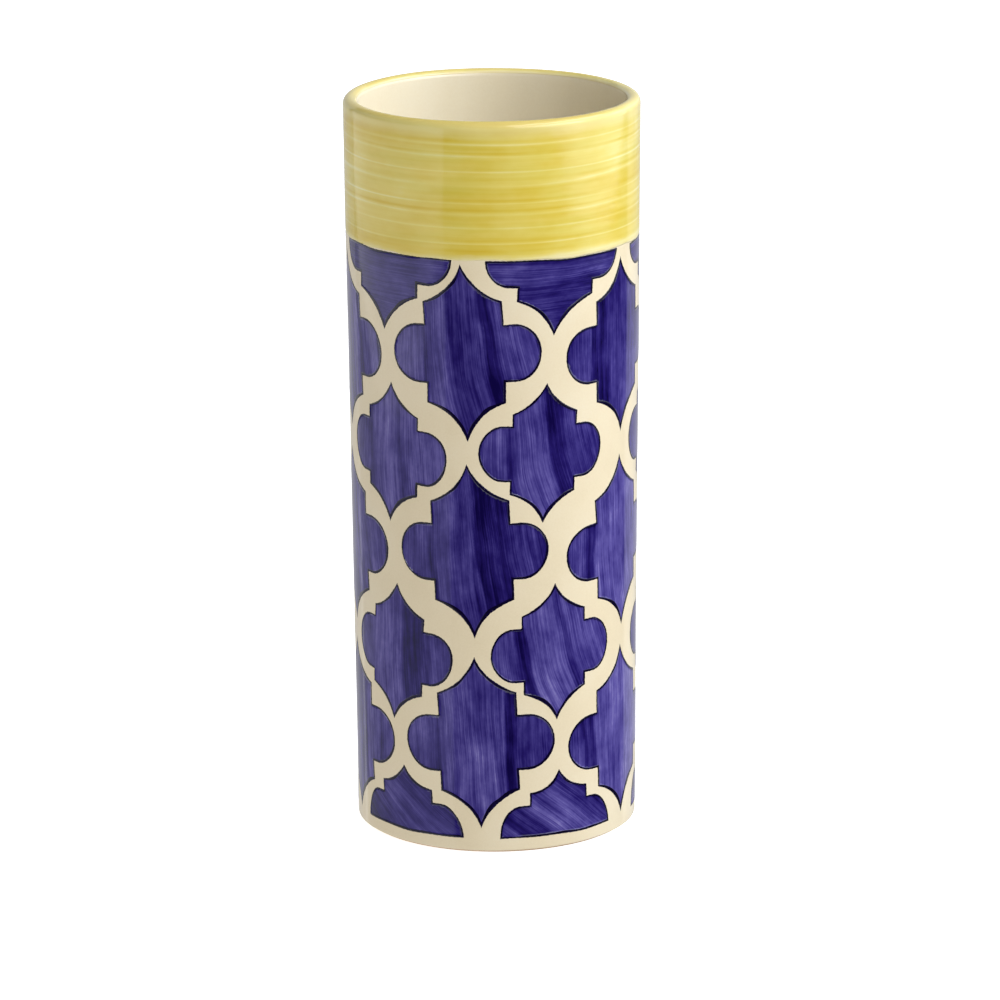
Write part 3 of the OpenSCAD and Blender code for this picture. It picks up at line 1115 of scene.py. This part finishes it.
def base_disc(material):
    """The glaze in the recess under the base, pooled a little at its edge."""
    rim = RECESS_R - BASE_GAP
    under = run((0, RECESS_GLAZE_Z), (rim - BASE_POOL_W, RECESS_GLAZE_Z), 20)
    edge = [
        (rim - BASE_POOL_W / 3, RECESS_GLAZE_Z - BASE_POOL_H / 3),
        (rim, RECESS_GLAZE_Z - BASE_POOL_H),
    ]
    section = under + edge + [(rim, SLAB_Z)] + run((rim - 2 * MM, SLAB_Z), (0, SLAB_Z), 6)
    piece = lathe_disc("base_glaze_disc", section[::-1], material)
    stands_for(piece, "base_glaze", "base_glaze")


def painted_lattice():
    """The painted cells and the contour lines round them, course by course."""
    fill, line = cobalt_material(), contour_material()
    for course in range(1, COURSES + 1):
        pattern = Pattern(course)
        cells = [Cell(pattern, column) for column in range(1, COLUMNS + 1)]
        for cell in cells:
            stands_for(fill_mesh(cell, fill), "cobalt_fill", cell.fill_node)
        stands_for(contour_mesh(course, cells, line), "cobalt_line", f"contour_r{course}")


# ---- Studio ----

# How far the camera stands back and up, in heights of the vase, its angles in degrees, and its lens in
# millimetres on film of the usual width
CAMERA_BACK = 7.357
CAMERA_UP = 2.417
CAMERA_PITCH = 15.04
CAMERA_ROLL = -0.40
CAMERA_YAW = -0.057
CAMERA_LENS = 202.35
FILM_W = 36
# How far away the camera still sees, in metres
CAMERA_FAR = 50
# Brightness of the room as it lights the vase, and as it shows in the gloss
ROOM_AMBIENT = 0.24
ROOM_IN_GLOSS = 0.02
# Half the width of the floor, in metres
FLOOR_HALF = 4
WHITE = (1, 1, 1)
DAYLIGHT = (0.94, 1.0, 1.09)
# Each soft box: azimuth from the front to the right and elevation in degrees, distance, width and height
# in metres, brightness, and colour
SOFT_BOXES = {
    # A window on the right, a strip over it that lights the inside, and one for the front of the lip
    "key_box": (84, 20, 1.5, 2.7, 1.75, 1.42, DAYLIGHT),
    "top_strip": (66, 58, 1.5, 2.2, 0.3, 5.9, WHITE),
    "lip_box": (48, 30, 1.5, 1.5, 0.45, 4.4, WHITE),
    # The dimmer left side, low enough to leave the inside alone, and a card for its film of gloss
    "left_box": (-88, -18, 1.3, 3.0, 1.7, 0.46, WHITE),
    "left_card": (-86, -2, 1.25, 2.8, 0.5, 0.63, WHITE),
    # Light that comes up from the table, and a backdrop that pales the outline
    "table_bounce": (-30, -60, 1.2, 1.4, 1.2, 1.2, WHITE),
    "backdrop": (176, -4, 1.8, 3.7, 2.6, 0.56, WHITE),
}


def camera():
    """Above the lip and well back, with a long lens."""
    data = bpy.data.cameras.new("camera")
    data.lens = CAMERA_LENS
    data.sensor_width = FILM_W
    data.clip_end = CAMERA_FAR
    viewer = bpy.data.objects.new("camera", data)
    place = Matrix.Translation((0, -CAMERA_BACK * VASE_H, CAMERA_UP * VASE_H))
    yaw = Matrix.Rotation(math.radians(CAMERA_YAW), 4, "Z")
    pitch = Matrix.Rotation(math.radians(90 - CAMERA_PITCH), 4, "X")
    roll = Matrix.Rotation(math.radians(CAMERA_ROLL), 4, "Z")
    viewer.matrix_world = place @ yaw @ pitch @ roll
    bpy.context.scene.collection.objects.link(viewer)
    bpy.context.scene.camera = viewer


def soft_box(name, azimuth, elevation, distance, width, height, brightness, colour):
    """A soft box that looks at the middle of the vase."""
    data = bpy.data.lights.new(name, "AREA")
    data.shape = "RECTANGLE"
    data.size, data.size_y = width, height
    data.energy = brightness * math.pi * width * height
    data.color = colour
    light = bpy.data.objects.new(name, data)
    a, e = math.radians(azimuth), math.radians(elevation)
    target = np.array([0, 0, VASE_H / 2])
    way = np.array([math.sin(a) * math.cos(e), -math.cos(a) * math.cos(e), math.sin(e)])
    light.location = target + distance * way
    light.rotation_euler = (math.pi / 2 - e, 0, a)
    light.visible_camera = False
    bpy.context.scene.collection.objects.link(light)


def world():
    """Seen directly the room is white; it lights the vase dimly, and is almost dark in the gloss."""
    room = bpy.data.worlds.new("studio")
    room.use_nodes = True
    tree = room.node_tree
    path = tree.nodes.new("ShaderNodeLightPath")
    gloss = tree.nodes.new("ShaderNodeMix")
    gloss.inputs["A"].default_value = ROOM_AMBIENT
    gloss.inputs["B"].default_value = ROOM_IN_GLOSS
    seen = tree.nodes.new("ShaderNodeMix")
    seen.inputs["B"].default_value = 1.0
    tree.links.new(path.outputs["Is Glossy Ray"], gloss.inputs["Factor"])
    tree.links.new(gloss.outputs["Result"], seen.inputs["A"])
    tree.links.new(path.outputs["Is Camera Ray"], seen.inputs["Factor"])
    background = tree.nodes["Background"]
    background.inputs["Color"].default_value = (1, 1, 1, 1)
    tree.links.new(seen.outputs["Result"], background.inputs["Strength"])
    bpy.context.scene.world = room


def studio():
    """The room, the soft boxes, and a floor that neither lights the vase, shades it nor shows in it."""
    bpy.context.scene.view_settings.view_transform = "Standard"
    world()
    floor = make_piece(
        "studio_floor",
        [(x * FLOOR_HALF, y * FLOOR_HALF, 0) for x, y in ((-1, -1), (1, -1), (1, 1), (-1, 1))],
        [(0, 1, 2, 3)],
        floor_material(),
        smooth=False,
    )
    floor.visible_glossy = False
    floor.visible_diffuse = False
    floor.visible_shadow = False
    for name, settings in SOFT_BOXES.items():
        soft_box(name, *settings)


# ---- The vase ----

camera()
studio()
clay = clay_material()
clay_wall(clay)
floor_slab = frame["nodes"]["body_floor"]
floor_slab.data.materials.clear()
floor_slab.data.materials.append(clay)
ground_shell(ivory_material())
liner_shell(liner_material())
collar_shell(yellow_material())
base_disc(base_glaze_material())
painted_lattice()
